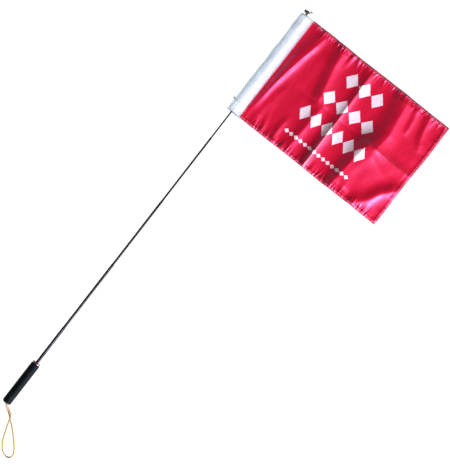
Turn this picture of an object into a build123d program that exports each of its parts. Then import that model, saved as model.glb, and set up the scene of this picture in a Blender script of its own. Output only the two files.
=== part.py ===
from build123d import *
import math
import os

# A hand-held telescopic flagstick lying on a flat surface, in millimetres.
# The pole's axis is the X axis and X = 0 is the middle of the grip. +X points at the tip, the flag
# lies towards -Y, and +Z is up from the surface.

# ---- handle ----
GRIP_LENGTH = 120.0
GRIP_RADIUS = 11.8
GRIP_EDGE = 3.2
CORE_RADIUS = 8.0
CORE_BORE = 6.5
HANDLE_GAP = 0.05          # between pieces of the handle that are pushed into each other
BUSH_LENGTH = 12.0
COLLAR_LENGTH = 5.5
COLLAR_RADIUS = 10.6
CAP_FLANGE_RADIUS = 10.2
CAP_FLANGE_LENGTH = 2.0
CAP_PLUG_LENGTH = 5.0
CORD_HOLE_RADIUS = 4.0
CORD_MOUTH_RADIUS = 6.2
PIN_RADIUS = 0.95
PIN_STATION = -28.0

# ---- telescopic pole ----
SECTIONS = 6
FIRST_RADIUS = 4.0
RADIUS_STEP = 0.5
TUBE_WALL = 0.2
RUNNING_FIT = 0.05
FIRST_START = -34.0
FIRST_SHOWING = 115.0
SECTION_SHOWING = 200.0
SECTION_OVERLAP = 14.0
LIP_LENGTH = 1.6
LIP_RAMP = 0.6
LIP_THICKNESS = 0.12
BUSH_GRIP = 11.0           # length of each split bush on the inner end of a section
BUSH_SLOT = 0.5

# ---- tip ----
TIP_END = 1168.0           # outer end of the last section
CAP_START = 1158.0
CAP_HEAD_START = 1165.6
CAP_END = 1174.0
CAP_SLEEVE_RADIUS = 2.1
CAP_NECK_RADIUS = 1.9
CAP_HEAD_RADIUS = 2.7
CAP_BORE = FIRST_RADIUS - RADIUS_STEP * (SECTIONS - 1) + 0.02
HOOK_STATION = (CAP_HEAD_START + CAP_END) / 2
HOOK_WIRE = 1.15           # radius of the hook's wire
HOOK_BEAD = 3.0            # radius of the bead on its other end
HOOK_REACH = 7.6           # from the pole's axis to the bead's middle

# ---- flag ----
SLEEVE_START = 857.0
SLEEVE_END = 1162.0
SLEEVE_RADIUS = 13.2       # outside of the round part, which rests on the surface
SLEEVE_WALL = 0.6
SLEEVE_TAIL = 25.0         # from the pole's axis to the seam
TAIL_HEIGHT = 3.0
FLY = 431.0                # seam to fly edge
PANEL_THICKNESS = 0.8
TIE_RADIUS = 0.45
LOWER_TIE_STATION = SLEEVE_START + 32.0
TIE_KNOT = 2.6
TOP_TIE_STATION = 1163.4

# ---- wrist cord ----
CORD_RADIUS = 1.7
KNOT_RADIUS = 4.8
KNOT_LENGTH = 6.0

SURFACE = -SLEEVE_RADIUS   # height of what the flagstick lies on
CORD_LYING = SURFACE + CORD_RADIUS

# The cord's centre line. It leaves the handle's end cap, comes down to the surface, passes over
# its own returning strand at the two highest lying points, goes round the loop and comes back.
KNOT_FACE = -GRIP_LENGTH / 2 + CAP_PLUG_LENGTH
CORD_ROUTE = [
    (KNOT_FACE, -1.9, 0.0),
    (-63.0, -1.9, 0.0),
    (-68.7, -13.2, -3.2),
    (-76.0, -26.3, -5.2),
    (-83.9, -31.2, -5.4),
    (-92.4, -33.3, -5.4),
    (-103.8, -36.6, CORD_LYING + 0.8),
    (-119.5, -42.3, CORD_LYING),
    (-136.5, -48.4, CORD_LYING),
    (-150.8, -55.9, CORD_LYING),
    (-161.3, -64.8, CORD_LYING),
    (-167.8, -75.0, CORD_LYING),
    (-169.4, -85.1, CORD_LYING),
    (-164.2, -93.1, CORD_LYING),
    (-154.7, -94.6, CORD_LYING),
    (-144.1, -88.6, CORD_LYING),
    (-132.3, -79.7, CORD_LYING),
    (-119.2, -67.0, CORD_LYING),
    (-106.6, -54.2, CORD_LYING),
    (-95.9, -42.1, CORD_LYING),
    (-86.8, -30.6, CORD_LYING),
    (-78.4, -21.0, CORD_LYING + 0.5),
    (-71.8, -9.8, -6.6),
    (-63.6, 1.9, 0.0),
    (KNOT_FACE, 1.9, 0.0),
]


def section_radius(number):
    """Outside radius of a pole section, the first being the thickest."""
    return FIRST_RADIUS - RADIUS_STEP * (number - 1)


def section_end(number):
    """Where a section's outer end is with the pole fully drawn out."""
    if number == SECTIONS:
        return TIP_END
    return GRIP_LENGTH / 2 + FIRST_SHOWING + SECTION_SHOWING * (number - 1)


def section_start(number):
    """Where a section's inner end is with the pole fully drawn out."""
    if number == 1:
        return FIRST_START
    return section_end(number - 1) - SECTION_OVERLAP


def turned(points):
    """A solid turned about the pole's axis from points of (station, radius)."""
    outline = Polyline(*[(x, r, 0) for x, r in points], close=True)
    return revolve(make_face(outline), Axis.X, 360)


def ring(outer, inner, start, end):
    """A plain tube about the pole's axis."""
    return turned([(start, inner), (start, outer), (end, outer), (end, inner)])


def cross_hole(radius, station, length):
    """A vertical cylinder through the pole's axis."""
    return Pos(station, 0, 0) * Cylinder(radius, length)


# ---- handle pieces ----

def foam_grip():
    half = GRIP_LENGTH / 2
    outline = make_face(
        Polyline(
            (-half, CORE_RADIUS + HANDLE_GAP, 0),
            (-half, GRIP_RADIUS, 0),
            (half, GRIP_RADIUS, 0),
            (half, CORE_RADIUS + HANDLE_GAP, 0),
            close=True,
        )
    )
    outer_corners = outline.vertices().group_by(Axis.Y)[-1]
    return revolve(fillet(outer_corners, GRIP_EDGE), Axis.X, 360)


def grip_core():
    tube = ring(CORE_RADIUS, CORE_BORE, -GRIP_LENGTH / 2, GRIP_LENGTH / 2)
    return tube - cross_hole(PIN_RADIUS + HANDLE_GAP, PIN_STATION, 3 * CORE_RADIUS)


def core_bush(start):
    bore = FIRST_RADIUS + HANDLE_GAP
    return ring(CORE_BORE - HANDLE_GAP, bore, start, start + BUSH_LENGTH)


def core_bush_lower():
    bush = core_bush(PIN_STATION - BUSH_LENGTH / 2)
    return bush - cross_hole(PIN_RADIUS + HANDLE_GAP, PIN_STATION, 3 * CORE_RADIUS)


def core_bush_upper():
    return core_bush(GRIP_LENGTH / 2 - BUSH_LENGTH)


def anchor_pin():
    return cross_hole(PIN_RADIUS, PIN_STATION, 2 * CORE_RADIUS)


def grip_collar():
    start = GRIP_LENGTH / 2
    bore = FIRST_RADIUS + HANDLE_GAP
    outline = make_face(
        Polyline(
            (start, bore, 0),
            (start, COLLAR_RADIUS, 0),
            (start + COLLAR_LENGTH, COLLAR_RADIUS, 0),
            (start + COLLAR_LENGTH, bore, 0),
            close=True,
        )
    )
    rim = outline.vertices().group_by(Axis.Y)[-1].sort_by(Axis.X)
    outline = fillet([rim[0]], 0.5)
    rim = outline.vertices().sort_by(Axis.X)[-2:].sort_by(Axis.Y)
    return revolve(fillet([rim[-1]], 2.2), Axis.X, 360)


def end_cap():
    base = -GRIP_LENGTH / 2
    outer = base - CAP_FLANGE_LENGTH
    plug = CORE_BORE - HANDLE_GAP
    return turned(
        [
            (outer, CORD_MOUTH_RADIUS),
            (outer, CAP_FLANGE_RADIUS - 1.2),
            (outer + 1.2, CAP_FLANGE_RADIUS),
            (base, CAP_FLANGE_RADIUS),
            (base, plug),
            (base + CAP_PLUG_LENGTH, plug),
            (base + CAP_PLUG_LENGTH, CORD_HOLE_RADIUS),
            (base + 1.0, CORD_HOLE_RADIUS),
        ]
    )


# ---- pole pieces ----

def pole_section(number):
    """A thin tube whose outer end is rolled in around the next section."""
    radius = section_radius(number)
    start, end = section_start(number), section_end(number)
    inside = radius - TUBE_WALL
    if number == SECTIONS:
        return ring(radius, inside, start, end)
    lip_bore = section_radius(number + 1) + RUNNING_FIT
    tube = turned(
        [
            (start, inside),
            (start, radius),
            (end - LIP_LENGTH, radius),
            (end, lip_bore + LIP_THICKNESS),
            (end, lip_bore),
            (end - LIP_LENGTH, lip_bore),
            (end - LIP_LENGTH - LIP_RAMP, inside),
        ]
    )
    if number == 1:
        tube = tube - cross_hole(PIN_RADIUS + HANDLE_GAP, PIN_STATION, 3 * CORE_RADIUS)
    return tube


def friction_bush(number):
    """The split brass bush on a section's inner end, which grips inside the section before it."""
    start = section_start(number)
    outer = section_radius(number - 1) - TUBE_WALL - RUNNING_FIT
    bush = ring(outer, section_radius(number), start, start + BUSH_GRIP)
    slot = Pos(start + BUSH_GRIP / 2, 0, outer) * Box(2 * BUSH_GRIP, BUSH_SLOT, 2 * outer)
    return bush - slot


# ---- tip pieces ----

def tip_cap():
    """A small turned cap: a sleeve on the last section, a neck for the tie, and a round head."""
    head = CAP_HEAD_RADIUS
    neck_start = TOP_TIE_STATION - 1.2
    body = turned(
        [
            (CAP_START, 0.0),
            (CAP_START, CAP_SLEEVE_RADIUS),
            (neck_start - 0.4, CAP_SLEEVE_RADIUS),
            (neck_start, CAP_NECK_RADIUS),
            (CAP_HEAD_START - 0.6, CAP_NECK_RADIUS),
            (CAP_HEAD_START + 0.6, head),
            (CAP_END - 2.6, head),
            (CAP_END - 1.0, head - 0.7),
            (CAP_END, head - 1.9),
            (CAP_END, 0.0),
        ]
    )
    bore = ring(CAP_BORE, 0.0, CAP_START - 1.0, TIP_END + HANDLE_GAP)
    wire_hole = Pos(HOOK_STATION, 0, 0) * Rot(90, 0, 0) * Cylinder(HOOK_WIRE + HANDLE_GAP, 4 * head)
    return body - bore - wire_hole


def tip_hook():
    """Bent wire through the cap's head: a bead at one end and an open hook at the other."""
    x = HOOK_STATION
    path = FilletPolyline(
        (x, HOOK_REACH, 0),
        (x, -4.6, 0),
        (x + 6.6, -4.6, 0),
        (x + 6.6, -8.8, 0),
        (x + 3.2, -8.8, 0),
        radius=[1.6, 1.9, 1.7],
    )
    section = Plane(origin=path @ 0, z_dir=path % 0) * Circle(HOOK_WIRE)
    wire = sweep(section, path)
    bead = Pos(x, HOOK_REACH, 0) * Sphere(HOOK_BEAD)
    return wire + bead


# ---- flag pieces ----

def teardrop(radius, tail):
    """A face across the pole: a round part about the axis, drawn out to a blunt edge at the seam."""
    floor = -radius
    height = TAIL_HEIGHT - 2 * (SLEEVE_RADIUS - radius)
    top = floor + height
    # the upper flank leaves the round part as a tangent through the tail's top corner
    reach = math.hypot(tail, top)
    lean = math.atan2(top, -tail) - math.acos(radius / reach)
    shoulder = (radius * math.cos(lean), radius * math.sin(lean))
    crown = Line((-tail, top), shoulder)
    far_side = (radius * math.cos(-0.6), radius * math.sin(-0.6))
    round_part = ThreePointArc(shoulder, far_side, (0, floor))
    base = Line((0, floor), (-tail, floor))
    edge = Line((-tail, floor), (-tail, top))
    return make_face([crown, round_part, base, edge])


def across(face, station):
    """Stands a face drawn in (Y, Z) up at a station on the pole."""
    return Plane(origin=(station, 0, 0), x_dir=(0, 1, 0), z_dir=(1, 0, 0)) * face


def header_sleeve():
    """The white pocket that the pole fills: open below, closed at the tip around the cap's neck."""
    length = SLEEVE_END - SLEEVE_START
    shell = extrude(across(teardrop(SLEEVE_RADIUS, SLEEVE_TAIL), SLEEVE_START), length)
    cavity_face = teardrop(SLEEVE_RADIUS - SLEEVE_WALL, SLEEVE_TAIL - SLEEVE_WALL)
    cavity = extrude(across(cavity_face, SLEEVE_START), length - SLEEVE_WALL)
    tip_hole = ring(CAP_SLEEVE_RADIUS + 0.4, 0.0, SLEEVE_END - 3.0, SLEEVE_END + 3.0)
    return shell - cavity - tip_hole


def flag_panel():
    middle = (SLEEVE_START + SLEEVE_END) / 2
    height = SURFACE + PANEL_THICKNESS / 2
    blank = Box(SLEEVE_END - SLEEVE_START, FLY, PANEL_THICKNESS)
    return Pos(middle, -SLEEVE_TAIL - FLY / 2, height) * blank


def lower_tie():
    """A band of thread over the sleeve, with its knot on the side away from the flag."""
    width = 4 * TIE_RADIUS
    outside = teardrop(SLEEVE_RADIUS + TIE_RADIUS, SLEEVE_TAIL - 1.0)
    loop = extrude(across(outside, LOWER_TIE_STATION - width / 2), width)
    knot = Pos(LOWER_TIE_STATION, SLEEVE_RADIUS + 0.5 * TIE_KNOT, 0) * Sphere(TIE_KNOT)
    sleeve_face = teardrop(SLEEVE_RADIUS, SLEEVE_TAIL)
    filled = extrude(across(sleeve_face, LOWER_TIE_STATION - 2 * TIE_KNOT), 4 * TIE_KNOT)
    under = Pos(LOWER_TIE_STATION, 0, 2 * SURFACE) * Box(4 * TIE_KNOT, 8 * SLEEVE_RADIUS, -2 * SURFACE)
    return (loop + knot) - filled - under


def top_tie():
    """A ring of thread round the neck of the tip's cap, lying on the sleeve's closed end."""
    inner = CAP_NECK_RADIUS + 0.4
    return ring(inner + 2 * TIE_RADIUS, inner, SLEEVE_END, SLEEVE_END + 2.4)


# ---- wrist cord ----

def corner_radii(route):
    """The largest arcs that the runs beside each corner leave room for."""
    radii = []
    for before, corner, after in zip(route, route[1:], route[2:]):
        first = Vector(*corner) - Vector(*before)
        second = Vector(*after) - Vector(*corner)
        half_turn = math.radians(first.get_angle(second)) / 2
        shorter = min(first.length, second.length)
        radii.append(0.45 * shorter / math.tan(half_turn))
    return radii


def wrist_cord():
    radii = corner_radii(CORD_ROUTE)
    path = FilletPolyline(*CORD_ROUTE, radius=radii)
    section = Plane(origin=path @ 0, z_dir=path % 0) * Circle(CORD_RADIUS)
    tube = sweep(section, path)
    expected = math.pi * CORD_RADIUS**2 * path.length
    print("cord radii", [round(r, 1) for r in radii])
    print("cord length", round(path.length, 1), "volume / expected", round(tube.volume / expected, 4))
    return tube


def cord_knot():
    start = KNOT_FACE
    bevel = 1.2
    return turned(
        [
            (start, 0.0),
            (start, KNOT_RADIUS - bevel),
            (start + bevel, KNOT_RADIUS),
            (start + KNOT_LENGTH - bevel, KNOT_RADIUS),
            (start + KNOT_LENGTH, KNOT_RADIUS - bevel),
            (start + KNOT_LENGTH, 0.0),
        ]
    )


def build():
    """Every piece by its name."""
    pieces = {
        "foam_grip": foam_grip(),
        "grip_core": grip_core(),
        "core_bush_lower": core_bush_lower(),
        "core_bush_upper": core_bush_upper(),
        "anchor_pin": anchor_pin(),
        "grip_collar": grip_collar(),
        "end_cap": end_cap(),
        "cord_knot": cord_knot(),
        "wrist_cord": wrist_cord(),
        "tip_cap": tip_cap(),
        "tip_hook": tip_hook(),
        "header_sleeve": header_sleeve(),
        "flag_panel": flag_panel(),
        "lower_tie": lower_tie(),
        "top_tie": top_tie(),
    }
    for number in range(1, SECTIONS + 1):
        pieces[f"pole_section_{number}"] = pole_section(number)
    for number in range(2, SECTIONS + 1):
        pieces[f"friction_bush_{number}"] = friction_bush(number)
    return pieces


os.makedirs("parts", exist_ok=True)
for name, piece in build().items():
    export_step(piece, f"parts/{name}.step")
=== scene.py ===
import math

import bpy
import numpy as np
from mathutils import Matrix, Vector, noise


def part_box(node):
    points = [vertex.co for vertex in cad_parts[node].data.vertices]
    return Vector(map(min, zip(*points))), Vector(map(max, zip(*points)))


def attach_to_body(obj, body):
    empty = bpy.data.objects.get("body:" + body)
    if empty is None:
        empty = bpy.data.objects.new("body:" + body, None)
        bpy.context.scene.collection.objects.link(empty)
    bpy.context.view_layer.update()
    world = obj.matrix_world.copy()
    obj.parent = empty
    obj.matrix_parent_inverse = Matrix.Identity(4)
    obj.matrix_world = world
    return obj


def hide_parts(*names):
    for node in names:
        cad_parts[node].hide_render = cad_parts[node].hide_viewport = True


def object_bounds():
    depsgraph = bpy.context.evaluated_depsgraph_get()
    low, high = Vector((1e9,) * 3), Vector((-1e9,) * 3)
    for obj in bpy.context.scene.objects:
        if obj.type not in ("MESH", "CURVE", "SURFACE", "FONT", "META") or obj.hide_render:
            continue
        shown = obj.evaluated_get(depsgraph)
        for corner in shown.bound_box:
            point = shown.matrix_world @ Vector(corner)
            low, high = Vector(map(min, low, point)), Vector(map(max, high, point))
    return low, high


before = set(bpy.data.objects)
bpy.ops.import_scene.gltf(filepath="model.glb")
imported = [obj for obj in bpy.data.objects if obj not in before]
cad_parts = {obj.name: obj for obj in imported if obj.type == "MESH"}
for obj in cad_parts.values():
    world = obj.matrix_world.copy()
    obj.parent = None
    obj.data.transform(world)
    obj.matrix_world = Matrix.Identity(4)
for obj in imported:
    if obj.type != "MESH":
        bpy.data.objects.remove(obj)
CAD_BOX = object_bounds()

MM = 0.001
FLOOR = CAD_BOX[0].z
POLE_TILT = math.radians(37.76)     # the pole leans this far to the right of upright in the picture
OBJECT_SHARE = 0.9985               # of the picture's width
AIM_LEFT, AIM_UP = 0.0022, 0.0026   # from the middle of the object to where the camera looks
PICTURE_ASPECT = 466 / 450          # height to width
LENS, SENSOR = 200, 36              # in mm: a long lens, for a view with almost no perspective

SLEEVE_LOW, SLEEVE_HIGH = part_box("header_sleeve")
PANEL_LOW, PANEL_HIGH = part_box("flag_panel")
HOIST = SLEEVE_HIGH.x - SLEEVE_LOW.x
FLY = PANEL_HIGH.y - PANEL_LOW.y
GRIP_LOW, GRIP_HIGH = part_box("foam_grip")
TIE_LOW, TIE_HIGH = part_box("top_tie")
BAND_LOW, BAND_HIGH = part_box("lower_tie")


# ---------------------------------------------------------------- camera

def picture_axes():
    """The picture's right and up directions, for a camera that looks straight down."""
    right = Vector((math.sin(POLE_TILT), -math.cos(POLE_TILT), 0))
    up = Vector((math.cos(POLE_TILT), math.sin(POLE_TILT), 0))
    return right, up


def cad_corners():
    """Every vertex of the frame's nodes."""
    return np.concatenate(
        [np.array([v.co for v in node.data.vertices], float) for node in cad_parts.values()]
    )


def make_camera():
    right, up = picture_axes()
    points = cad_corners()
    across, along = points @ np.array(right), points @ np.array(up)
    middle = right * float(across.min() + across.max()) / 2
    middle += up * float(along.min() + along.max()) / 2
    middle += up * AIM_UP - right * AIM_LEFT
    width = float(across.max() - across.min()) / OBJECT_SHARE
    data = bpy.data.cameras.new("camera")
    data.lens = LENS
    data.sensor_width = SENSOR
    data.clip_end = 50
    distance = width * PICTURE_ASPECT * LENS / SENSOR
    camera = bpy.data.objects.new("camera", data)
    bpy.context.scene.collection.objects.link(camera)
    camera.location = (middle.x, middle.y, distance)
    camera.rotation_euler = (0, 0, math.atan2(right.y, right.x))
    bpy.context.scene.camera = camera


make_camera()


# ---------------------------------------------------------------- node helpers

class Nodes:
    """A small helper for writing a material's nodes in few lines."""

    def __init__(self, name):
        self.material = bpy.data.materials.new(name)
        self.material.use_nodes = True
        self.tree = self.material.node_tree
        self.shader = self.tree.nodes["Principled BSDF"]

    def set(self, **values):
        for key, value in values.items():
            self.shader.inputs[key.replace("_", " ")].default_value = value
        return self

    def add(self, kind, inputs=None, **settings):
        node = self.tree.nodes.new(kind)
        for key, value in settings.items():
            setattr(node, key, value)
        for key, value in (inputs or {}).items():
            self.feed(node.inputs[key], value)
        return node

    def feed(self, socket, value):
        if isinstance(value, bpy.types.NodeSocket):
            self.tree.links.new(value, socket)
        else:
            socket.default_value = value

    def math(self, operation, *values):
        node = self.tree.nodes.new("ShaderNodeMath")
        node.operation = operation
        for socket, value in zip(node.inputs, values):
            self.feed(socket, value)
        return node.outputs[0]

    def ramp(self, factor, stops):
        node = self.tree.nodes.new("ShaderNodeValToRGB")
        self.feed(node.inputs[0], factor)
        elements = node.color_ramp.elements
        while len(elements) < len(stops):
            elements.new(0.5)
        for element, (place, colour) in zip(elements, stops):
            element.position = place
            element.color = (*colour, 1)
        return node.outputs[0]

    def mix(self, factor, first, second):
        node = self.tree.nodes.new("ShaderNodeMix")
        node.data_type = "RGBA"
        self.feed(node.inputs[0], factor)
        self.feed(node.inputs[6], first)
        self.feed(node.inputs[7], second)
        return node.outputs[2]

    def noise(self, vector, scale, detail=2.0, roughness=0.5):
        node = self.add("ShaderNodeTexNoise", {"Vector": vector, "Scale": scale, "Detail": detail})
        node.inputs["Roughness"].default_value = roughness
        return node.outputs["Fac"]

    def scaled(self, vector, scale):
        return self.add("ShaderNodeVectorMath", {0: vector, 1: scale}, operation="MULTIPLY").outputs[0]

    def place(self):
        return self.add("ShaderNodeTexCoord").outputs["Object"]

    def uv(self):
        return self.add("ShaderNodeTexCoord").outputs["UV"]

    def bump(self, height, strength, distance, normal=None):
        node = self.add("ShaderNodeBump", {"Height": height, "Strength": strength, "Distance": distance})
        if normal is not None:
            self.feed(node.inputs["Normal"], normal)
        return node.outputs[0]

    def done(self, colour=None, roughness=None, normal=None):
        for key, value in (("Base Color", colour), ("Roughness", roughness), ("Normal", normal)):
            if value is not None:
                self.feed(self.shader.inputs[key], value)
        return self.material


# ---------------------------------------------------------------- materials

def woven(nodes, pitch, strength):
    """The normal of a plain weave. The cloth's UVs are in metres."""
    thread = 2 * math.pi / pitch
    parts = nodes.add("ShaderNodeSeparateXYZ", {0: nodes.uv()})
    warp = nodes.math("SINE", nodes.math("MULTIPLY", parts.outputs[0], thread))
    weft = nodes.math("SINE", nodes.math("MULTIPLY", parts.outputs[1], thread))
    return nodes.bump(nodes.math("MULTIPLY", warp, weft), strength, pitch * 0.25)


# The print's rows of diamonds, in metres on the cloth: the row's middle from the seam, its height from
# the lower edge, half the height of a diamond, the pitch, and how many there are.
DIAMOND_ROWS = [
    (0.2065, 0.2465, 0.0225, 0.0395, 3),
    (0.2070, 0.1790, 0.0215, 0.0400, 4),
    (0.2080, 0.1125, 0.0225, 0.0345, 6),
    (0.2075, 0.0485, 0.0060, 0.0145, 14),
]
HALF_DIAMOND = 0.46                 # half a diamond's width, as a share of the pitch
PACKING_LINE = 0.2010               # from the seam to the painted highlight along the packing fold
MOUTH_GREY = 0.022                  # length over which the grey of the pocket's lower edge fades out


def diamond_rows(nodes, rows):
    """A mask that is 1 on the diamonds of all the rows."""
    parts = nodes.add("ShaderNodeSeparateXYZ", {0: nodes.uv()})
    across, up = parts.outputs[0], parts.outputs[1]
    mask = 0.0
    for middle, height, half, pitch, count in rows:
        offset = nodes.math("SUBTRACT", across, middle)
        shifted = nodes.math("ADD", nodes.math("DIVIDE", offset, pitch), count / 2)
        inside_cell = nodes.math("ABSOLUTE", nodes.math("SUBTRACT", nodes.math("FRACT", shifted), 0.5))
        side = nodes.math("DIVIDE", inside_cell, HALF_DIAMOND)
        rise = nodes.math("ABSOLUTE", nodes.math("SUBTRACT", up, height))
        rise = nodes.math("DIVIDE", rise, half)
        diamond = nodes.math("LESS_THAN", nodes.math("ADD", side, rise), 1.0)
        in_row = nodes.math("LESS_THAN", nodes.math("ABSOLUTE", offset), pitch * count / 2)
        mask = nodes.math("MAXIMUM", mask, nodes.math("MULTIPLY", diamond, in_row))
    return mask


def edge_share(nodes, width):
    """1 at the flag's three free edges, falling to 0 at this distance from them."""
    parts = nodes.add("ShaderNodeSeparateXYZ", {0: nodes.uv()})
    inside = nodes.math("MINIMUM", parts.outputs[1], nodes.math("SUBTRACT", HOIST, parts.outputs[1]))
    inside = nodes.math("MINIMUM", inside, nodes.math("SUBTRACT", FLY, parts.outputs[0]))
    return nodes.ramp(nodes.math("DIVIDE", inside, width), [(0.55, (1, 1, 1)), (1.0, (0, 0, 0))])


def painted_crease_highlight(nodes, across, width):
    """A painted highlight along the crest where the cloth was folded for packing, palest at the lower
    edge.
    """
    parts = nodes.add("ShaderNodeSeparateXYZ", {0: nodes.uv()})
    off = nodes.math("ABSOLUTE", nodes.math("SUBTRACT", parts.outputs[0], across))
    line = nodes.ramp(nodes.math("DIVIDE", off, width), [(0.3, (1, 1, 1)), (1.0, (0, 0, 0))])
    low = nodes.ramp(parts.outputs[1], [(0.0, (0.55,) * 3), (0.16, (0.12,) * 3)])
    return nodes.math("MULTIPLY", line, low)


def satin_material():
    nodes = Nodes("red_satin")
    nodes.set(Specular_IOR_Level=1.0, Coat_Weight=0.4, Coat_Roughness=0.3)
    nodes.shader.inputs["Specular Tint"].default_value = (1.0, 0.42, 1.0, 1)
    nodes.shader.inputs["Coat Tint"].default_value = (1.0, 0.85, 1.0, 1)
    uv = nodes.uv()
    cloud = nodes.noise(uv, 14.0, 3.0)
    slub = nodes.noise(nodes.scaled(uv, (60.0, 2600.0, 1.0)), 1.0, 2.0)
    red = nodes.ramp(cloud, [(0.3, (0.59, 0.001, 0.012)), (0.7, (0.69, 0.002, 0.020))])
    red = nodes.mix(nodes.math("MULTIPLY", slub, 0.2), red, (0.78, 0.005, 0.055, 1))
    # The three free edges are painted darker: partly the darker overlock thread, partly painted shade
    # where the hem rolls under.
    red = nodes.mix(edge_share(nodes, 0.0018), red, (0.30, 0.002, 0.02, 1))
    # Painted highlight: a pale strip along the crest of the packing crease.
    red = nodes.mix(painted_crease_highlight(nodes, PACKING_LINE, 0.0036), red, (0.95, 0.42, 0.36, 1))
    printed = diamond_rows(nodes, DIAMOND_ROWS)
    ink = nodes.ramp(slub, [(0.3, (0.91, 0.79, 0.73)), (0.7, (0.97, 0.87, 0.81))])
    colour = nodes.mix(printed, red, ink)
    roughness = nodes.math("ADD", nodes.math("MULTIPLY", printed, 0.16), 0.44)
    weave = woven(nodes, 0.00045, 0.12)
    normal = nodes.bump(slub, 0.05, 0.0002, weave)
    return nodes.done(colour, roughness, normal)


def white_cloth_material():
    nodes = Nodes("white_cloth")
    nodes.set(Roughness=0.8, Sheen_Weight=0.3, Sheen_Roughness=0.5, Specular_IOR_Level=0.3)
    nodes.set(Subsurface_Weight=0.72, Subsurface_Radius=(1.0, 1.0, 1.0), Subsurface_Scale=0.006)
    cloud = nodes.noise(nodes.place(), 40.0, 3.0)
    white = nodes.ramp(cloud, [(0.3, (0.89, 0.93, 0.935)), (0.7, (0.945, 0.975, 0.98))])
    speck = nodes.ramp(nodes.noise(nodes.place(), 260.0, 3.0), [(0.52, (0, 0, 0)), (0.72, (1, 1, 1))])
    white = nodes.mix(nodes.math("MULTIPLY", speck, 0.5), white, (0.62, 0.70, 0.76, 1))
    # The cloth is dark grey at the pocket's lower end and fades to white over MOUTH_GREY.
    station = nodes.add("ShaderNodeSeparateXYZ", {0: nodes.uv()}).outputs[1]
    past_mouth = nodes.math("DIVIDE", nodes.math("SUBTRACT", station, SLEEVE_LOW.x), MOUTH_GREY)
    mouth_grey_stops = [(0.0, (0.97,) * 3), (0.12, (0.80,) * 3), (0.20, (0.48,) * 3), (1.0, (0.0,) * 3)]
    mouth_darkening = nodes.ramp(past_mouth, mouth_grey_stops)
    white = nodes.mix(mouth_darkening, white, (0.09, 0.11, 0.14, 1))
    weave = woven(nodes, 0.0006, 0.25)
    return nodes.done(white, None, weave)


def thread_material(name, colour):
    nodes = Nodes(name)
    nodes.set(Roughness=0.6, Sheen_Weight=0.2)
    twist = nodes.noise(nodes.place(), 2500.0, 1.0)
    dark = tuple(c * 0.75 for c in colour)
    shaded = nodes.ramp(twist, [(0.3, dark), (0.7, colour)])
    return nodes.done(shaded, None, nodes.bump(twist, 0.3, 0.0001))


def foam_material():
    nodes = Nodes("grip_foam")
    nodes.set(Specular_IOR_Level=0.08)
    nodes.shader.inputs["Specular Tint"].default_value = (0.78, 1.0, 0.90, 1)
    place = nodes.place()
    cells = nodes.add("ShaderNodeTexVoronoi", {"Vector": place, "Scale": 1500.0}).outputs["Distance"]
    pebble = nodes.noise(place, 420.0, 3.0)
    wear = nodes.noise(place, 60.0, 3.0)
    colour = nodes.ramp(wear, [(0.3, (0.0020, 0.0026, 0.0032)), (0.7, (0.006, 0.0085, 0.0105))])
    roughness = nodes.ramp(pebble, [(0.3, (0.5,) * 3), (0.7, (0.68,) * 3)])
    normal = nodes.bump(cells, 0.35, 0.0003, nodes.bump(pebble, 0.5, 0.0006))
    return nodes.done(colour, roughness, normal)


def steel_material():
    nodes = Nodes("pole_steel")
    nodes.set(Metallic=1.0, Anisotropic=0.5)
    nodes.shader.inputs["Specular Tint"].default_value = (0.12, 0.12, 0.125, 1)
    place = nodes.place()
    streak = nodes.noise(nodes.scaled(place, (12.0, 2500.0, 2500.0)), 1.0, 2.0)
    smear = nodes.noise(nodes.scaled(place, (18.0, 90.0, 90.0)), 1.0, 3.0)
    colour = nodes.ramp(streak, [(0.3, (0.022, 0.022, 0.023)), (0.7, (0.045, 0.045, 0.048))])
    roughness = nodes.ramp(smear, [(0.3, (0.30,) * 3), (0.7, (0.45,) * 3)])
    return nodes.done(colour, roughness, nodes.bump(streak, 0.1, 0.00005))


def brass_material():
    nodes = Nodes("bush_brass")
    nodes.set(Metallic=1.0)
    streak = nodes.noise(nodes.scaled(nodes.place(), (400.0, 40.0, 40.0)), 1.0, 2.0)
    colour = nodes.ramp(streak, [(0.3, (0.55, 0.38, 0.14)), (0.7, (0.74, 0.55, 0.26))])
    return nodes.done(colour, nodes.ramp(streak, [(0.3, (0.28,) * 3), (0.7, (0.42,) * 3)]))


def moulded_material(name, dark, light, roughness, coat=0.0):
    nodes = Nodes(name)
    nodes.set(Coat_Weight=coat, Coat_Roughness=0.08)
    place = nodes.place()
    flow = nodes.noise(place, 150.0, 3.0)
    grain = nodes.noise(place, 1800.0, 2.0)
    colour = nodes.ramp(flow, [(0.3, dark), (0.7, light)])
    rough = nodes.ramp(grain, [(0.3, (roughness * 0.85,) * 3), (0.7, (roughness * 1.15,) * 3)])
    return nodes.done(colour, rough, nodes.bump(grain, 0.15, 0.0001))


# The cord's colours along its length, from one end to the other. It is pale at both ends, browner
# near the cap, and dark at the bottom of its loop.
CORD_STAGES = [
    (0.02, (0.80, 0.66, 0.36)),
    (0.10, (0.62, 0.40, 0.12)),
    (0.16, (0.48, 0.26, 0.05)),
    (0.28, (0.60, 0.41, 0.03)),
    (0.478, (0.66, 0.54, 0.04)),
    (0.495, (0.07, 0.014, 0.018)),
    (0.540, (0.07, 0.014, 0.018)),
    (0.557, (0.60, 0.50, 0.03)),
    (0.78, (0.60, 0.48, 0.02)),
    (0.88, (0.52, 0.33, 0.02)),
    (0.92, (0.64, 0.46, 0.12)),
    (0.98, (0.80, 0.66, 0.36)),
]
PLAITS_ALONG, PLAITS_ROUND = 150, 4


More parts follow.
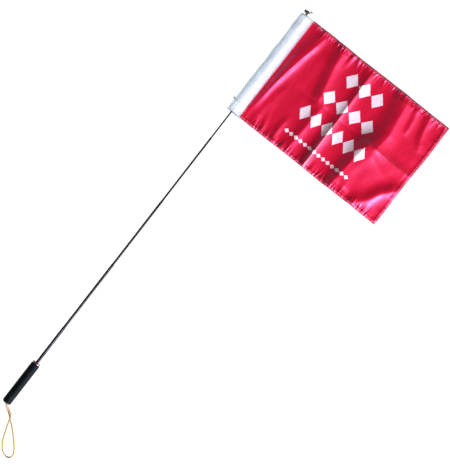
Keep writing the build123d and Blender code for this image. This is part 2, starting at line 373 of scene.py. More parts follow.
def cord_material():
    nodes = Nodes("gold_cord")
    nodes.set(Sheen_Weight=0.25, Sheen_Roughness=0.4)
    parts = nodes.add("ShaderNodeSeparateXYZ", {0: nodes.uv()})
    along = nodes.math("MULTIPLY", parts.outputs[0], 2 * math.pi * PLAITS_ALONG)
    around = nodes.math("MULTIPLY", parts.outputs[1], 2 * math.pi * PLAITS_ROUND)
    one = nodes.math("SINE", nodes.math("ADD", along, around))
    other = nodes.math("SINE", nodes.math("SUBTRACT", along, around))
    plait = nodes.math("MULTIPLY", one, other)
    patch = nodes.noise(nodes.place(), 45.0, 3.0)
    shift = nodes.math("MULTIPLY", nodes.math("SUBTRACT", patch, 0.5), 0.06)
    gold = nodes.ramp(nodes.math("ADD", parts.outputs[0], shift), CORD_STAGES)
    shade = nodes.ramp(plait, [(0.0, (0.7, 0.62, 0.5)), (0.6, (1, 1, 1))])
    tinted = nodes.add("ShaderNodeVectorMath", {0: gold, 1: shade}, operation="MULTIPLY").outputs[0]
    return nodes.done(tinted, 0.5, nodes.bump(plait, 0.5, 0.0003))


SATIN = satin_material()
WHITE_CLOTH = white_cloth_material()
WHITE_THREAD = thread_material("white_thread", (0.80, 0.81, 0.84))
PINK_THREAD = thread_material("pink_thread", (0.88, 0.20, 0.28))
GREY_THREAD = thread_material("grey_thread", (0.50, 0.52, 0.56))
FOAM = foam_material()
STEEL = steel_material()
BRASS = brass_material()
BLACK_PLASTIC = moulded_material("black_plastic", (0.012, 0.012, 0.013), (0.025, 0.025, 0.027), 0.45)
GREY_PLASTIC = moulded_material("grey_plastic", (0.022, 0.022, 0.024), (0.045, 0.045, 0.048), 0.5)
MAROON = moulded_material("maroon_plastic", (0.085, 0.028, 0.034), (0.13, 0.045, 0.052), 0.3, coat=0.6)
DARK_WIRE = moulded_material("dark_wire", (0.012, 0.012, 0.013), (0.028, 0.028, 0.03), 0.5)
GOLD_CORD = cord_material()

NODE_MATERIALS = {
    "pole_section_": STEEL,
    "friction_bush_": BRASS,
    "anchor_pin": STEEL,
    "core_bush_": BLACK_PLASTIC,
    "grip_core": BLACK_PLASTIC,
    "end_cap": BLACK_PLASTIC,
    "grip_collar": MAROON,
    "tip_cap": GREY_PLASTIC,
    "tip_hook": DARK_WIRE,
    "cord_knot": GOLD_CORD,
}


def dress_frame():
    """Gives every CAD node that stays its better material."""
    for name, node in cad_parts.items():
        for start, material in NODE_MATERIALS.items():
            if name.startswith(start):
                node.data.materials.clear()
                node.data.materials.append(material)


dress_frame()


# ---------------------------------------------------------------- mesh helpers

def add_mesh(name, vertices, faces, material, uvs=None, smooth=True):
    """A mesh object. uvs, if given, holds one (u, v) for each vertex."""
    mesh = bpy.data.meshes.new(name)
    mesh.from_pydata([tuple(v) for v in vertices], [], faces)
    mesh.materials.append(material)
    if uvs is not None:
        layer = mesh.uv_layers.new(name="UVMap")
        corners = np.zeros(len(mesh.loops), np.int32)
        mesh.loops.foreach_get("vertex_index", corners)
        layer.data.foreach_set("uv", np.asarray(uvs, np.float32)[corners].ravel())
    if smooth:
        mesh.shade_smooth()
    piece = bpy.data.objects.new(name, mesh)
    bpy.context.scene.collection.objects.link(piece)
    return piece


def grid_faces(rows, columns, wrap=False):
    """Quads of a grid of vertices stored row by row; wrap closes each row on itself."""
    faces = []
    last = columns if wrap else columns - 1
    for r in range(rows - 1):
        for c in range(last):
            d = (c + 1) % columns
            here, above = r * columns, (r + 1) * columns
            faces.append((here + c, here + d, above + d, above + c))
    return faces


def capsule_run(name, segments, radius, material):
    """Many short stitches in one mesh; each segment is (start, end)."""
    sides, rings = 6, 4
    vertices, faces = [], []
    for start, end in segments:
        start, end = Vector(start), Vector(end)
        along = (end - start).normalized()
        side = along.cross(Vector((0, 0, 1)))
        side = side.normalized() if side.length > 1e-6 else Vector((1, 0, 0))
        up = side.cross(along)
        base = len(vertices)
        for ring in range(rings):
            share = ring / (rings - 1)
            swell = radius * (0.45, 1.0, 1.0, 0.45)[ring]
            centre = start.lerp(end, share) + up * (0.5 * radius * math.sin(math.pi * share))
            for s in range(sides):
                angle = 2 * math.pi * s / sides
                out = side * (swell * math.cos(angle)) + up * (swell * math.sin(angle))
                vertices.append(centre + out)
        faces += [tuple(base + i for i in face) for face in grid_faces(rings, sides, wrap=True)]
        faces.append(tuple(base + s for s in reversed(range(sides))))
        faces.append(tuple(base + (rings - 1) * sides + s for s in range(sides)))
    return add_mesh(name, vertices, faces, material)


# ---------------------------------------------------------------- wrist cord

CORD_DIAMETER = 0.0034
CORD_LYING = FLOOR + CORD_DIAMETER / 2
KNOT_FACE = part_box("cord_knot")[0].x
CORD_ROUTE = [
    (KNOT_FACE, -0.0019, 0.0),
    (-0.0630, -0.0019, 0.0),
    (-0.0687, -0.0132, -0.0032),
    (-0.0760, -0.0263, -0.0052),
    (-0.0839, -0.0312, -0.0054),
    (-0.0924, -0.0333, -0.0054),
    (-0.1038, -0.0366, CORD_LYING + 0.0008),
    (-0.1195, -0.0423, CORD_LYING),
    (-0.1365, -0.0484, CORD_LYING),
    (-0.1508, -0.0559, CORD_LYING),
    (-0.1613, -0.0648, CORD_LYING),
    (-0.1678, -0.0750, CORD_LYING),
    (-0.1694, -0.0851, CORD_LYING),
    (-0.1642, -0.0931, CORD_LYING),
    (-0.1547, -0.0946, CORD_LYING),
    (-0.1441, -0.0886, CORD_LYING),
    (-0.1323, -0.0797, CORD_LYING),
    (-0.1192, -0.0670, CORD_LYING),
    (-0.1066, -0.0542, CORD_LYING),
    (-0.0959, -0.0421, CORD_LYING),
    (-0.0868, -0.0306, CORD_LYING),
    (-0.0784, -0.0210, CORD_LYING + 0.0005),
    (-0.0718, -0.0098, -0.0066),
    (-0.0636, 0.0019, 0.0),
    (KNOT_FACE, 0.0019, 0.0),
]


def make_cord():
    data = bpy.data.curves.new("wrist_cord_line", "CURVE")
    data.dimensions = "3D"
    spline = data.splines.new("NURBS")
    spline.points.add(len(CORD_ROUTE) - 1)
    for point, place in zip(spline.points, CORD_ROUTE):
        point.co = (*place, 1)
    spline.order_u = 3
    spline.use_endpoint_u = True
    spline.resolution_u = 16
    data.bevel_depth = CORD_DIAMETER / 2
    data.bevel_resolution = 5
    data.use_fill_caps = True
    data.materials.append(GOLD_CORD)
    cord = bpy.data.objects.new("gold_wrist_cord", data)
    bpy.context.scene.collection.objects.link(cord)
    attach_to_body(cord, "handle")
    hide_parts("wrist_cord")


make_cord()


# ---------------------------------------------------------------- foam grip

def make_grip():
    """The foam tube: slightly uneven, with rounded ends and a fine pebbled skin."""
    radius = (GRIP_HIGH.y - GRIP_LOW.y) / 2
    bore = (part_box("grip_core")[1].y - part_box("grip_core")[0].y) / 2 + 0.00005
    edge = 0.0030
    turns = [math.pi / 2 * i / 9 for i in range(10)]
    corner = [(edge * (1 - math.cos(t)), radius - edge * (1 - math.sin(t))) for t in turns]
    straight, rings, sides = GRIP_HIGH.x - GRIP_LOW.x - 2 * edge, 110, 96
    line = [(GRIP_LOW.x, bore)]
    line += [(GRIP_LOW.x + x, r) for x, r in corner]
    line += [(GRIP_LOW.x + edge + straight * i / rings, radius) for i in range(1, rings)]
    line += [(GRIP_HIGH.x - x, r) for x, r in reversed(corner)]
    line += [(GRIP_HIGH.x, bore)]
    vertices = []
    for x, r in line:
        for s in range(sides):
            angle = 2 * math.pi * s / sides
            rough = 0.0
            if r > bore + 0.0005:
                spot = Vector((x, r * math.cos(angle), r * math.sin(angle)))
                rough = 0.00012 * noise.noise(spot * 420) - 0.00010 + 0.00012 * noise.noise(spot * 45)
            vertices.append((x, (r + rough) * math.cos(angle), (r + rough) * math.sin(angle)))
    faces = grid_faces(len(line), sides, wrap=True)
    last = (len(line) - 1) * sides
    faces += [(last + s, last + (s + 1) % sides, (s + 1) % sides, s) for s in range(sides)]
    grip = add_mesh("foam_sleeve", vertices, faces, FOAM)
    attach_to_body(grip, "handle")
    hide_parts("foam_grip")


make_grip()


# ---------------------------------------------------------------- flag panel

SEAM = PANEL_HIGH.y
HEM = 0.009                         # width of the turned hem
SEAM_LIFT = 0.0016                  # the panel's height over the floor at the seam
CLOTH = 0.00035                     # thickness
FOLD_DEPTH = 1.35                   # every fold's and crease's height is multiplied by this
DROOP = 0.0055                      # the fly edge lies this much nearer the handle than the hoist
LEAN = 0.0033                       # the fly edge's upper corner lies this much further out
RISE = 0.0004                       # the panel's upper edge stands this much past the pocket's end

# Folds of the cloth, in mm from the seam and from the lower edge. Each has the points of its crest,
# its width on the left and on the right of someone who walks along it, and its height.
FOLDS = [
    ([(6, 32), (12, 78), (18, 123), (25, 168), (34, 218), (41, 247), (50, 292)], 27, 9, 6.4),
    ([(132, 152), (120, 203), (111, 243), (105, 283), (101, 305)], 18, 16, 6.6),
    ([(316, 148), (320, 168), (323, 198), (316, 238), (309, 288), (306, 305)], 34, 16, 6.8),
    ([(298, 152), (320, 198), (314, 242), (308, 305)], 34, 85, 5.0),
    ([(352, 230), (348, 264), (344, 305)], 8, 7, 2.2),
    ([(402, 218), (390, 238), (382, 278), (378, 305)], 10, 10, 2.8),
    ([(282, 0), (284, 52), (289, 102), (295, 148)], 22, 14, 6.8),
    ([(298, 22), (308, 82), (328, 142)], 25, 72, 7.4),
    ([(350, 0), (362, 16), (379, 36), (397, 70), (413, 88), (431, 105)], 19, 17, 6.6),
    ([(143, 0), (145, 62), (147, 112), (149, 152)], 15, 11, 4.0),
    ([(95, 0), (97, 72)], 10, 9, 2.2),
    ([(32, 27), (36, 62), (42, 102), (48, 132)], 14, 14, 1.8),
]
# Sharp lines left by the way the flag was packed.
CREASES = [
    ([(198, 0), (198, 73), (198, 143), (195, 243), (193, 305)], 12, 12, 6.6),
    ([(198, 8), (198, 72), (198, 134)], 6, 7, 2.6),
    ([(290, 148), (328, 149), (378, 148), (431, 148)], 9, 32, 5.6),
    ([(70, 148), (118, 149), (188, 149), (284, 149)], 8, 8, -0.9),
]


def along_line(a, b, points):
    """For each (a, b): distance from a line, side from -1 (left) to 1 (right), share along the line."""
    best = np.full(a.shape, 1e9)
    side = np.zeros(a.shape)
    share = np.zeros(a.shape)
    steps = [math.dist(p, q) for p, q in zip(points, points[1:])]
    total, gone = sum(steps), 0.0
    for (pa, pb), (qa, qb), step in zip(points, points[1:], steps):
        da, db = (qa - pa) / step, (qb - pb) / step
        t = np.clip((a - pa) * da + (b - pb) * db, 0, step)
        ea, eb = a - (pa + t * da), b - (pb + t * db)
        d = np.hypot(ea, eb)
        near = d < best
        best = np.where(near, d, best)
        side = np.where(near, (ea * db - eb * da) / np.maximum(d, 1e-6), side)
        share = np.where(near, (gone + t) / total, share)
        gone += step
    return best, side, share


def smooth_step(t):
    t = np.clip(t, 0, 1)
    return t * t * (3 - 2 * t)


def hashed(n):
    """A fixed, uneven number from 0 to 1 for each whole number."""
    return (math.sin(n * 127.1 + 11.7) * 43758.5453) % 1.0


def wrinkle_noise(a, b, scale_a, scale_b, seed):
    flat = [noise.noise(Vector((x / scale_a, y / scale_b, seed))) for x, y in zip(a.ravel(), b.ravel())]
    return np.array(flat).reshape(a.shape)


def puckers(along, inward, length, pitch, seed, height, depth):
    """Short gathers that run in from a hem, uneven in place, height and depth."""
    total = np.zeros(along.shape)
    count = int(length / pitch)
    for i in range(count):
        middle = (i + 0.5 + 0.7 * (hashed(seed + i) - 0.5)) * pitch
        tall = height * (0.25 + 1.1 * hashed(seed + 31 + i))
        deep = depth * (0.4 + 0.9 * hashed(seed + 67 + i))
        lean = 0.6 * (hashed(seed + 91 + i) - 0.5)
        width = pitch * (0.26 + 0.16 * hashed(seed + 43 + i))
        offset = (along - middle - lean * inward) / width
        rise = 0.45 + 0.55 * smooth_step(inward / 6)
        total += tall * np.exp(-offset**2) * np.exp(-((inward / deep) ** 2)) * rise
    return total


def fold_heights(a, b, folds, left_power, right_power):
    """The folds' heights added up; the power sets how round a flank is, 2 for round and 1 for sharp."""
    total = np.zeros(a.shape)
    for points, left, right, tall in folds:
        d, side, share = along_line(a, b, points)
        width = left + (right - left) * (side + 1) / 2
        power = left_power + (right_power - left_power) * (side + 1) / 2
        fade = np.minimum(1, 0.45 + 1.3 * np.sin(math.pi * np.clip(share * 0.92 + 0.06, 0, 1)))
        total += tall * fade * np.exp(-((np.sqrt(d**2 + 0.3) / width) ** power))
    return total


def cloth_height(a, b):
    """Height of the cloth over its lowest level, in mm, at a from the seam and b from the lower edge."""
    fly, hoist = FLY / MM, HOIST / MM
    height = FOLD_DEPTH * (fold_heights(a, b, FOLDS, 2.0, 1.35) + fold_heights(a, b, CREASES, 1.1, 1.1))
    height += 1.5 * (1 + wrinkle_noise(a, b, 60, 90, 3.1))
    height += 0.35 * wrinkle_noise(a, b, 16, 30, 8.4)
    height += 0.11 * wrinkle_noise(a, b, 5.0, 9.0, 2.7)
    height += puckers(a, hoist - b, fly, 6.8, 5, 2.5, 16)
    height += puckers(a, hoist - b, fly, 24, 1005, 3.0, 34)
    height += puckers(a, b, fly, 6.8, 205, 2.5, 16)
    height += puckers(a, b, fly, 24, 1205, 3.0, 34)
    height += puckers(b, fly - a, hoist, 14, 405, 1.4, 13)
    near_seam = smooth_step(a / 20)
    return np.maximum(height, 0) * (0.42 + 0.58 * near_seam)


def from_edge(a, b):
    """Distance in mm from the nearest of the three free edges."""
    return np.minimum(np.minimum(b, HOIST / MM - b), FLY / MM - a)


def cloth_point(a, b, lift=0.0):
    """Points of the cloth's upper side in metres, for arrays a and b in mm."""
    fly, hoist = FLY / MM, HOIST / MM
    inside = from_edge(a, b)
    hem = 1 - smooth_step((inside - HEM / MM) / 0.9)
    rolled = 0.8 * (1 - smooth_step(inside / 1.6))
    pulled = 0.4 * np.sin((a + b) * 2 * math.pi / 7.0) * hem * smooth_step(inside / 2.0)
    z = cloth_height(a, b) + 0.7 * hem + pulled - rolled + 0.8 + lift
    off_middle = b / hoist - 0.5
    wave_b = 0.9 * np.sin(a / 33.0) * off_middle + 0.35 * np.sin(a / 9.1 + 1.0) * np.abs(off_middle)
    wave_a = 0.9 * np.sin(b / 29.0 + 0.6) * (a / fly) ** 2
    base = FLOOR + CLOTH + SEAM_LIFT * np.exp(-a / 12.0)
    x = SLEEVE_LOW.x + (b + wave_b) * MM + DROOP * (0.2 - a / fly) + RISE * b / hoist
    y = SEAM - (a + wave_a) * MM - LEAN * a / fly * off_middle
    return np.stack([x, y, base + z * MM], axis=-1)


def spread(length, fine, coarse, start, stop):
    """Grid lines from 0 to length: fine for start at one edge and stop at the other, else coarse."""
    low = np.arange(0, start, fine)
    high = length - np.arange(0, stop, fine)[::-1]
    middle = np.linspace(start, length - stop, int((length - start - stop) / coarse) + 1)
    return np.unique(np.round(np.concatenate([low, middle, high]), 6))


def make_panel():
    columns = spread(FLY / MM, 1.0, 1.1, 2.0, 24.0)
    rows = spread(HOIST / MM, 0.9, 2.0, 24.0, 24.0)
    a, b = np.meshgrid(columns, rows)
    wide, tall = len(columns), len(rows)
    top = cloth_point(a, b).reshape(-1, 3)
    under = top - np.array([0, 0, CLOTH])
    count = len(top)
    faces = grid_faces(tall, wide)
    faces += [tuple(count + i for i in reversed(f)) for f in grid_faces(tall, wide)]
    rim = list(range(wide))
    rim += [r * wide + wide - 1 for r in range(1, tall)]
    rim += [(tall - 1) * wide + c for c in reversed(range(wide - 1))]
    rim += [r * wide for r in reversed(range(1, tall - 1))]
    for i, j in zip(rim, rim[1:] + rim[:1]):
        faces.append((j, i, count + i, count + j))
    uvs = np.stack([a.ravel() * MM, b.ravel() * MM], axis=-1)
    return add_mesh("satin_panel", np.vstack([top, under]), faces, SATIN, np.vstack([uvs, uvs]))


def zigzag(start, end, pitch, reach):
    """Ends of the stitches of a zigzag from start to end, to both sides of the line between them."""
    length = math.dist(start, end)
    u, v = (end[0] - start[0]) / length, (end[1] - start[1]) / length
    steps = int(length / pitch)
    corners = []
    for i in range(steps + 1):
        d, sway = length * i / steps, reach if i % 2 else -reach
        corners.append((start[0] + u * d - v * sway, start[1] + v * d + u * sway))
    return list(zip(corners, corners[1:]))


def hem_stitches():
    """The zigzag of thread along the top, lower and fly hems."""
    middle = 0.5 * HEM / MM
    upper, outer = HOIST / MM - middle, FLY / MM - middle
    flat = []
    for start, end in (
        ((2, upper), (outer, upper)),
        ((2, middle), (outer, middle)),
        ((outer, middle), (outer, upper)),
    ):
        flat += zigzag(start, end, 3.5, 2.3)
    flat = np.array(flat)
    points = cloth_point(flat[..., 0], flat[..., 1], lift=0.15)
    return capsule_run("hem_thread", points, 0.00055, PINK_THREAD)


# ---------------------------------------------------------------- header sleeve

SLEEVE_RADIUS = -FLOOR              # the pocket is round the pole and rests on the floor
WALL = 0.0005
TAIL = -SEAM                        # from the pole's axis to the seam
TAIL_TOP = FLOOR + 0.0030
LOWER_END = SLEEVE_LOW.x
UPPER_END = SLEEVE_HIGH.x
FULLNESS = 3.0                      # on the side away from the flag: 2 is round, more is squarer
GATHER = 0.007                      # length over which the upper end draws in to its tie
NECK = 0.0027                       # radius that it draws in to
GRIP_PASSES = 0.965                 # the grip enters as far as this when the pole is shut
FLARE, FLARE_LENGTH = 0.0024, 0.007
TIE_STATION = (BAND_LOW.x + BAND_HIGH.x) / 2
TIE_PINCH, TIE_WIDTH = 0.0004, 0.003
POCKET_STEPS = 120


def pocket_outline(radius):
    """Lengths of the four stretches round the pocket's section, and a function that walks along them."""
    reach = math.hypot(TAIL, TAIL_TOP)
    start = -math.pi / 2
    stop = math.atan2(TAIL_TOP, -TAIL) - math.acos(radius / reach)
    if stop < start:
        stop += 2 * math.pi
    shoulder = Vector((radius * math.cos(stop), radius * math.sin(stop)))
    tail_top, tail_low = Vector((-TAIL, TAIL_TOP)), Vector((-TAIL, -radius))
    lengths = [radius * (stop - start), (tail_top - shoulder).length, (tail_top - tail_low).length, TAIL]

    def walk(d):
        arc, flank, edge, base = lengths
        if d < arc:
            angle = start + d / radius
            across, up = math.cos(angle), math.sin(angle)
            full = 1.0
            if across > 0:
                full = (across**FULLNESS + abs(up) ** FULLNESS) ** (-1 / FULLNESS)
            return radius * full * across, radius * full * up
        d -= arc
        if d < flank:
            p = shoulder.lerp(tail_top, d / flank)
            return p.x, p.y + 0.0009 * math.sin(math.pi * d / flank)
        d -= flank
        if d < edge:
            return tuple(tail_top.lerp(tail_low, d / edge))
        return -TAIL * (1 - (d - edge) / base), -radius

    return lengths, walk


def pocket_point(station, d, radius, outline):
    """One point of the pocket's cloth: the plain section, made uneven, tied and gathered."""
    lengths, walk = outline
    y, z = walk(d)
    left = UPPER_END - station
    gather = 1.0
    if left < GATHER:
        neck = NECK / SLEEVE_RADIUS
        gather = neck + (1 - neck) * (1 - (1 - left / GATHER) ** 3) ** 0.5
    share = max(0.0, min(1.0, -y / TAIL))
    middle_y, middle_z = -TAIL * share, (TAIL_TOP + FLOOR) / 2 * share
    turn = 2 * math.pi * d / sum(lengths)
    spot = Vector((station * 30, math.cos(turn) * 1.2, math.sin(turn) * 1.2))
    soft = 0.0013 * noise.noise(spot) + 0.0006 * noise.noise(spot * 2.7)
    if station < GRIP_PASSES:
        soft = abs(soft) * 0.8
    flare = FLARE * math.exp(-(station - LOWER_END) / FLARE_LENGTH) * (1 - share)
    tie = TIE_PINCH * math.exp(-(((station - TIE_STATION) / TIE_WIDTH) ** 2))
    free = max(0.0, min(1.0, (z - FLOOR) / 0.006)) * gather
    away = Vector((y - middle_y, z - middle_z))
    scale = gather + ((soft + flare - tie) * free / away.length if away.length > 1e-5 else 0)
    floor = FLOOR + (SLEEVE_RADIUS - radius)
    slant = 0.0012 * math.cos(turn - 2.2) if station < LOWER_END + 0.002 else 0.0
    return station + slant, middle_y + away.x * scale, max(middle_z + away.y * scale, floor)


def pocket_ring(station, radius):
    """The points round the pocket at one station, and how far along the section each is."""
    outline = pocket_outline(radius)
    total = sum(outline[0])
    places = [total * i / POCKET_STEPS for i in range(POCKET_STEPS)]
    return [pocket_point(station, d, radius, outline) for d in places], places


def make_header():
    body = np.linspace(LOWER_END, UPPER_END - GATHER, 130)
    end = [UPPER_END - GATHER * (1 - math.sin(math.pi / 2 * t)) for t in np.linspace(0.04, 1, 18)]
    stations = [*body, *end]
    outer, inner, uvs = [], [], []
    for station in stations:
        ring, places = pocket_ring(station, SLEEVE_RADIUS)
        outer += ring
        uvs += [(d, station) for d in places]
        inner += pocket_ring(station, SLEEVE_RADIUS - WALL)[0]
    rows, count = len(stations), POCKET_STEPS
    size = rows * count
    faces = [tuple(reversed(f)) for f in grid_faces(rows, count, wrap=True)]
    faces += [tuple(size + i for i in f) for f in grid_faces(rows, count, wrap=True)]
    last = (rows - 1) * count
    for i in range(count):
        j = (i + 1) % count
        faces.append((i, j, size + j, size + i))
        faces.append((last + j, last + i, size + last + i, size + last + j))
    return add_mesh("pole_pocket", outer + inner, faces, WHITE_CLOTH, uvs + uvs)


def on_pocket(station, back, lift=0.0002):
    """A point on the pocket's upper side, so far round it from the seam."""
    outline = pocket_outline(SLEEVE_RADIUS)
    x, y, z = pocket_point(station, outline[0][0] + outline[0][1] - back, SLEEVE_RADIUS, outline)
    return x, y, z + lift


def seam_stitches():
    """The zigzag that holds the flag to the pocket, just inside the seam."""
    flat = zigzag((LOWER_END + 0.003, 0.0035), (UPPER_END - GATHER, 0.0035), 0.0035, 0.0018)
    points = [(on_pocket(*p), on_pocket(*q)) for p, q in flat]
    return capsule_run("seam_thread", points, 0.00062, PINK_THREAD)


def pocket_stitches():
    """The running stitch over the pocket's turned lower end."""
    station, stitch, pitch = LOWER_END + 0.005, 0.0026, 0.0042
    round_it = np.arange(0.002, 0.040, pitch)
    points = [(on_pocket(station, d), on_pocket(station, d + stitch)) for d in round_it]
    return capsule_run("pocket_thread", points, 0.00026, WHITE_THREAD)


# ---------------------------------------------------------------- ties and loose threads

TIE_THREAD = 0.00042                # radius of the thread of both ties
TAIL_ENDS = (0.0004, 0.0002)        # radius of a thin thread's root and tip


def tube(points, radius, sides=8):
    """Vertices and faces of a closed round tube along a line of points; the radius may be a list."""
    points = [Vector(p) for p in points]
    radii = radius if isinstance(radius, list) else [radius] * len(points)
    vertices, faces = [], []
    side = None
    for i, point in enumerate(points):
        along = (points[min(i + 1, len(points) - 1)] - points[max(i - 1, 0)]).normalized()
        if side is None:
            side = along.cross(Vector((0, 0, 1)))
            side = side if side.length > 0.1 else along.cross(Vector((0, 1, 0)))
        side = (side - along * side.dot(along)).normalized()
        up = along.cross(side)
        for s in range(sides):
            angle = 2 * math.pi * s / sides
            vertices.append(point + (side * math.cos(angle) + up * math.sin(angle)) * radii[i])
    faces += grid_faces(len(points), sides, wrap=True)
    faces.append(tuple(reversed(range(sides))))
    last = (len(points) - 1) * sides
    faces.append(tuple(last + s for s in range(sides)))
    return vertices, faces


def tubes(name, parts, material):
    """Several tubes in one mesh."""
    vertices, faces = [], []
    for part_vertices, part_faces in parts:
        base = len(vertices)
        vertices += part_vertices
        faces += [tuple(base + i for i in f) for f in part_faces]
    return add_mesh(name, vertices, faces, material)


def curve_points(points, count):
    """Points along a smooth line near the given ones, from Bernstein weights."""
    degree = len(points) - 1
    line = []
    for i in range(count):
        t = i / (count - 1)
        weights = [math.comb(degree, k) * t**k * (1 - t) ** (degree - k) for k in range(degree + 1)]
        line.append(sum((Vector(p) * w for p, w in zip(points, weights)), Vector()))
    return line


def tapered(count, thick, thin):
    return [thick + (thin - thick) * i / (count - 1) for i in range(count)]


def make_lower_tie():
    """The thread tied round the pocket near its lower end: two turns, a lumpy knot and two tails."""
    parts = []
    knot = Vector((TIE_STATION, SLEEVE_RADIUS + 0.0012, 0.0))
    for turn, lean in ((-0.00035, 0.0006), (0.00040, -0.0004)):
        line = [
            (TIE_STATION + turn + lean * math.cos(6 * d * 40), *on_pocket(TIE_STATION, d, lift=0.0)[1:])
            for d in np.linspace(0.0, 0.054, 60)
        ]
        parts.append(tube(line, TIE_THREAD))
    for k in range(3):
        loop = []
        for i in range(19):
            angle = 2 * math.pi * i / 18
            wobble = 1 + 0.18 * math.sin(2 * angle + k * 2.1)
            tilt = k * 1.05
            u, v = 0.0017 * wobble * math.cos(angle), 0.0013 * wobble * math.sin(angle)
            loop.append(knot + Vector((u * math.cos(tilt), u * math.sin(tilt), v)))
        parts.append(tube(loop, 0.00075))
    for tip in ((0.0055, 0.0050, 0.0015), (-0.0015, 0.0062, -0.0030)):
        end = knot + Vector(tip)
        bend = knot.lerp(end, 0.55) + Vector((0.0012, 0.0, 0.0016))
        parts.append(tube(curve_points([knot, bend, end], 12), tapered(12, 0.00075, 0.00035)))
    return tubes("pocket_tie", parts, GREY_THREAD)


def make_top_tie():
    """Turns of thread round the cap's neck, with tails that stand up past the hook."""
    radius = (TIE_HIGH.z - TIE_LOW.z) / 2 - 0.0005
    inset = 0.0004
    turns, steps = 4, 90
    wound = []
    for i in range(steps):
        share = i / (steps - 1)
        angle = 2 * math.pi * turns * share
        swell = radius + 0.0002 * math.sin(3.3 * angle)
        x = TIE_LOW.x + inset + (TIE_HIGH.x - TIE_LOW.x - 2 * inset) * share
        wound.append((x, swell * math.cos(angle), swell * math.sin(angle)))
    parts = [tube(wound, TIE_THREAD)]
    root = Vector(((TIE_LOW.x + TIE_HIGH.x) / 2, 0.0022, 0.0010))
    for bend, tip in (
        ((0.012, 0.006, 0.004), (0.022, 0.0035, 0.001)),
        ((0.004, 0.008, 0.002), (0.008, 0.0125, -0.004)),
    ):
        line = curve_points([root, root + Vector(bend), root + Vector(tip)], 16)
        parts.append(tube(line, tapered(16, *TAIL_ENDS)))
    return tubes("tip_tie", parts, GREY_THREAD)


def make_hook_binding():
    """Dark thread wound over the hook's wire beside its bead, with one thin end standing up."""
    station = (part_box("tip_cap")[0].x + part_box("tip_cap")[1].x) / 2 + 0.0038
    turns, steps = 7, 150
    wound = []
    for i in range(steps):
        share = i / (steps - 1)
        angle = 2 * math.pi * turns * share
        swell = 0.0026 + 0.0006 * math.sin(5.1 * share + 0.4) + 0.0003 * math.sin(2.3 * angle)
        y = 0.0016 + 0.0062 * share
        wound.append((station + swell * math.cos(angle), y, swell * math.sin(angle)))
    end = Vector((station, 0.0070, 0.0020))
    wisp = [end, end + Vector((0.006, 0.0050, 0.0050)), end + Vector((0.016, 0.0065, 0.0010))]
    parts = [tube(wound, 0.00075), tube(curve_points(wisp, 16), tapered(16, *TAIL_ENDS))]
    return tubes("hook_binding", parts, DARK_WIRE)


# Each loose thread's root, bend and tip, in mm from the seam and from the lower edge.
LOOSE_THREADS = [
    ((12, 304), (16, 311), (26, 310)),
    ((19, 304), (23, 308), (21, 313)),
    ((22, 301), (26, 304), (25, 308)),
    ((24, 297), (27, 300), (30, 299)),
    ((2, 303), (5, 308), (13, 309)),
]


def make_loose_threads():
    """Ends of sewing thread left standing at the flag's upper corner by the pocket."""
    parts = []
    for thread in LOOSE_THREADS:
        flat = np.array(thread, float)
        on_cloth = np.minimum(flat[:, 1], HOIST / MM)
        points = cloth_point(flat[:, 0], on_cloth, lift=0.3)
        points[:, 0] += (flat[:, 1] - on_cloth) * MM
        points[1:, 2] += 0.0008
        parts.append(tube(curve_points([tuple(p) for p in points], 12), 0.00045, 6))
    return tubes("loose_threads", parts, WHITE_THREAD)


# ---------------------------------------------------------------- the flag's pieces

def attach(piece, body, node=None):
    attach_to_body(piece, body)
    if node:
        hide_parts(node)
    return piece


panel = attach(make_panel(), "flag", "flag_panel")
header = attach(make_header(), "flag", "header_sleeve")
hem_thread = attach(hem_stitches(), "flag")
loose_threads = attach(make_loose_threads(), "flag")
seam_thread = attach(seam_stitches(), "flag")
pocket_thread = attach(pocket_stitches(), "flag")
attach(make_lower_tie(), "flag", "lower_tie")
attach(make_top_tie(), "flag", "top_tie")
attach(make_hook_binding(), "section_6")


# ---------------------------------------------------------------- stage and light

FLOOR_HALF = 12.0
FLOOR_GLOW = 1.0                    # the floor is plain white, with no shadow
# Each light's place from the point it is aimed at, its size, power and colour.
KEY_LIGHT = ((-1.0, -2.9, 1.75), 1.3, 275, (0.98, 0.96, 1.19))
FILL_LIGHT = ((-0.5, 1.7, 2.2), 1.6, 52, (0.72, 0.98, 1.12))


def make_floor():
    size = FLOOR_HALF
    material = Nodes("floor")
    material.set(Roughness=0.9, Specular_IOR_Level=0.1, Emission_Strength=FLOOR_GLOW)
    material.shader.inputs["Emission Color"].default_value = (1, 1, 1, 1)
    floor = add_mesh(
        "floor",
        [(-size, -size, FLOOR), (size, -size, FLOOR), (size, size, FLOOR), (-size, size, FLOOR)],
        [(0, 1, 2, 3)],
        material.done((0.12, 0.12, 0.12, 1)),
        smooth=False,
    )


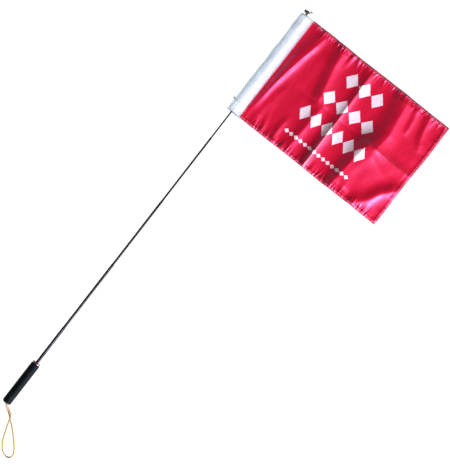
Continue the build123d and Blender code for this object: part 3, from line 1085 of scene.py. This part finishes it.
def area_light(name, aim, offset, size, power, colour):
    data = bpy.data.lights.new(name, "AREA")
    data.size = size
    data.energy = power
    data.color = colour
    light = bpy.data.objects.new(name, data)
    bpy.context.scene.collection.objects.link(light)
    place = aim + Vector(offset)
    light.location = place
    light.rotation_euler = (aim - place).to_track_quat("-Z", "Y").to_euler()
    return light


def studio_world():
    """Pale walls, a dark ceiling, and a darker side away from the window."""
    world = bpy.data.worlds.new("studio")
    world.use_nodes = True
    tree = world.node_tree
    where = tree.nodes.new("ShaderNodeTexCoord")
    parts = tree.nodes.new("ShaderNodeSeparateXYZ")
    ceiling = tree.nodes.new("ShaderNodeMapRange")
    sides = tree.nodes.new("ShaderNodeMapRange")
    both = tree.nodes.new("ShaderNodeMath")
    both.operation = "MULTIPLY"
    tree.links.new(where.outputs["Generated"], parts.inputs[0])
    for node, axis, (low, high), (first, last) in (
        (ceiling, 2, (0.22, 0.80), (0.92, 0.03)),
        (sides, 1, (-0.7, 0.7), (0.95, 0.48)),
    ):
        tree.links.new(parts.outputs[axis], node.inputs["Value"])
        node.inputs["From Min"].default_value = low
        node.inputs["From Max"].default_value = high
        node.inputs["To Min"].default_value = first
        node.inputs["To Max"].default_value = last
    tree.links.new(ceiling.outputs[0], both.inputs[0])
    tree.links.new(sides.outputs[0], both.inputs[1])
    tree.links.new(both.outputs[0], tree.nodes["Background"].inputs[1])
    tree.nodes["Background"].inputs[0].default_value = (1, 1, 1, 1)
    return world


def make_light():
    """A key light from the fly's side, and a fill light that lights the pocket and nothing else."""
    middle = (CAD_BOX[0] + CAD_BOX[1]) / 2
    aim = Vector((middle.x, middle.y, FLOOR))
    area_light("key", aim, *KEY_LIGHT)
    fill = area_light("fill", aim, *FILL_LIGHT)
    lit = bpy.data.collections.new("lit_by_fill")
    for piece in (header, pocket_thread):
        lit.objects.link(piece)
    fill.light_linking.receiver_collection = lit
    bpy.context.scene.world = studio_world()
    bpy.context.scene.view_settings.view_transform = "Standard"


make_floor()
make_light()
